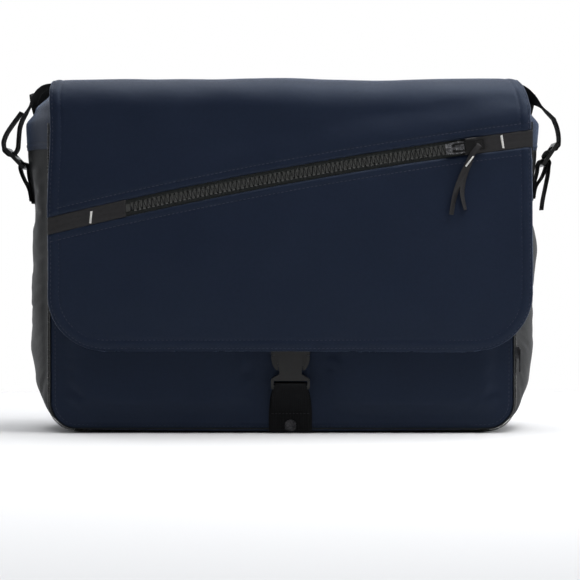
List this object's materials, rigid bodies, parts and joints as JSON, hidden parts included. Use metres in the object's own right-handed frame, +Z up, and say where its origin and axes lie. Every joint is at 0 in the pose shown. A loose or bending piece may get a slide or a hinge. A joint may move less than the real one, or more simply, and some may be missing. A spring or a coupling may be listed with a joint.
{
  "type": "diaper bag",
  "caption": "Messenger-style diaper bag with a zipped front flap, side-release buckle, faux-leather side gussets and an adjustable shoulder strap.",
  "frame": {"origin": "middle of the flat underside, on the surface that the bag stands on", "axes": "+Z up, +X to the right as the flap is looked at (along the bag's width), +Y to the back"},
  "size_m": [0.4835, 0.1966, 0.3035],
  "materials": {
    "navy_canvas": "matte padded canvas",
    "leatherette": "soft semi-gloss faux leather",
    "black_webbing": "matte woven webbing and ribbon",
    "black_plastic": "satin moulded acetal",
    "grey_lining": "smooth woven lining",
    "gunmetal": "dark plated metal",
    "base_board": "stiff board"
  },
  "bodies": {
    "bag": {"back_panel": "navy_canvas", "base_board": "base_board", "bottom_panel": "leatherette", "buckle_socket": "black_plastic", "front_panel": "navy_canvas", "gusset_left": "leatherette", "gusset_right": "leatherette", "gusset_wing_left": "navy_canvas", "gusset_wing_right": "navy_canvas", "lining": "grey_lining", "seam_zip_coil": "black_plastic", "seam_zip_tape": "black_webbing", "shoulder_strap": "black_webbing", "side_tab_left": "black_webbing", "side_tab_right": "black_webbing", "socket_webbing": "black_webbing", "webbing_rivet": "gunmetal"},
    "flap_top": {"flap_top_panel": "navy_canvas", "flap_top_lining": "grey_lining", "flap_roll": "navy_canvas"},
    "flap_front": {"flap_upper_panel": "navy_canvas", "flap_lower_panel": "navy_canvas", "flap_lining": "grey_lining", "flap_pocket_bag": "grey_lining", "flap_zip_tape_upper": "black_webbing", "flap_zip_tape_lower": "black_webbing", "flap_zip_teeth_upper": "black_plastic", "flap_zip_teeth_lower": "black_plastic", "zip_end_tab_left": "black_webbing", "zip_end_tab_right": "black_webbing", "zip_stop_left": "gunmetal", "zip_stop_right": "gunmetal", "plug_webbing": "black_webbing"},
    "zip_slider": {"zip_slider": "gunmetal"},
    "zip_pull": {"zip_pull_tab": "black_plastic"},
    "pull_ribbon": {"zip_pull_ribbon": "black_webbing"},
    "plug": {"buckle_plug": "black_plastic"},
    "plug_arm_left": {"plug_arm_left": "black_plastic"},
    "plug_arm_right": {"plug_arm_right": "black_plastic"},
    "lock_left": {"ladder_lock_left": "black_plastic", "strap_end_left": "black_webbing"},
    "lock_right": {"ladder_lock_right": "black_plastic", "strap_end_right": "black_webbing"},
    "seam_slider": {"seam_zip_slider": "gunmetal"},
    "seam_pull": {"seam_zip_pull": "gunmetal"}
  },
  "joints": [
    {"name": "flap_back_hinge", "type": "hinge", "parent": "bag", "child": "flap_top", "pos_m": [0, 0.0655, 0.2963], "axis": [-1, 0, 0], "range_deg": [0, 110]},
    {"name": "flap_front_fold", "type": "hinge", "parent": "flap_top", "child": "flap_front", "pos_m": [0, -0.0537, 0.2705], "axis": [-1, 0, 0], "range_deg": [0, 90], "deforming": ["flap_roll"]},
    {"name": "zip_slider_travel", "type": "hinge", "parent": "flap_front", "child": "zip_slider", "pos_m": [0.65079, -0.0812, -3.32399], "axis": [0, -1, 0], "range_deg": [0, 4.25]},
    {"name": "zip_pull_lift", "type": "hinge", "parent": "zip_slider", "child": "zip_pull", "pos_m": [0.1442, -0.0845, 0.24055], "axis": [-0.1404, 0, 0.9901], "range_deg": [-150, 0], "deforming": ["zip_pull_ribbon"]},
    {"name": "ribbon_hang", "type": "hinge", "parent": "zip_pull", "child": "pull_ribbon", "pos_m": [0.165, -0.0845, 0.24314], "axis": [-0.1404, 0, 0.9901], "range_deg": [0, 150], "deforming": ["zip_pull_ribbon"]},
    {"name": "buckle_release", "type": "slide", "parent": "flap_front", "child": "plug", "axis": [0, 0, 1], "range_m": [0, 0.022], "deforming": ["plug_webbing", "plug_arm_left", "plug_arm_right"]},
    {"name": "plug_arm_left_press", "type": "hinge", "parent": "plug", "child": "plug_arm_left", "pos_m": [-0.0024, -0.074, 0.0745], "axis": [0, 1, 0], "range_deg": [-7, 0], "stiffness_Nm_per_rad": 0.08, "deforming": ["plug_arm_left"]},
    {"name": "plug_arm_right_press", "type": "hinge", "parent": "plug", "child": "plug_arm_right", "pos_m": [0.0166, -0.074, 0.0745], "axis": [0, 1, 0], "range_deg": [0, 7], "stiffness_Nm_per_rad": 0.08, "deforming": ["plug_arm_right"]},
    {"name": "lock_left_swing", "type": "hinge", "parent": "bag", "child": "lock_left", "pos_m": [-0.224, 0.004, 0.2265], "axis": [0, 1, 0], "range_deg": [-18, 30], "deforming": ["strap_end_left"]},
    {"name": "lock_right_swing", "type": "hinge", "parent": "bag", "child": "lock_right", "pos_m": [0.2256, 0.004, 0.229], "axis": [0, 1, 0], "range_deg": [-22, 24], "deforming": ["strap_end_right"]},
    {"name": "seam_zip_travel", "type": "slide", "parent": "bag", "child": "seam_slider", "axis": [0, 0, 1], "range_m": [-0.032, 0.18]},
    {"name": "seam_pull_lift", "type": "hinge", "parent": "seam_slider", "child": "seam_pull", "pos_m": [0.2014, -0.0618, 0.0705], "axis": [0, 1, 0], "range_deg": [-165, 0]}
  ],
  "couplings": [
    {"joint": "ribbon_hang", "follows": "zip_pull_lift", "ratio": -1}
  ]
}
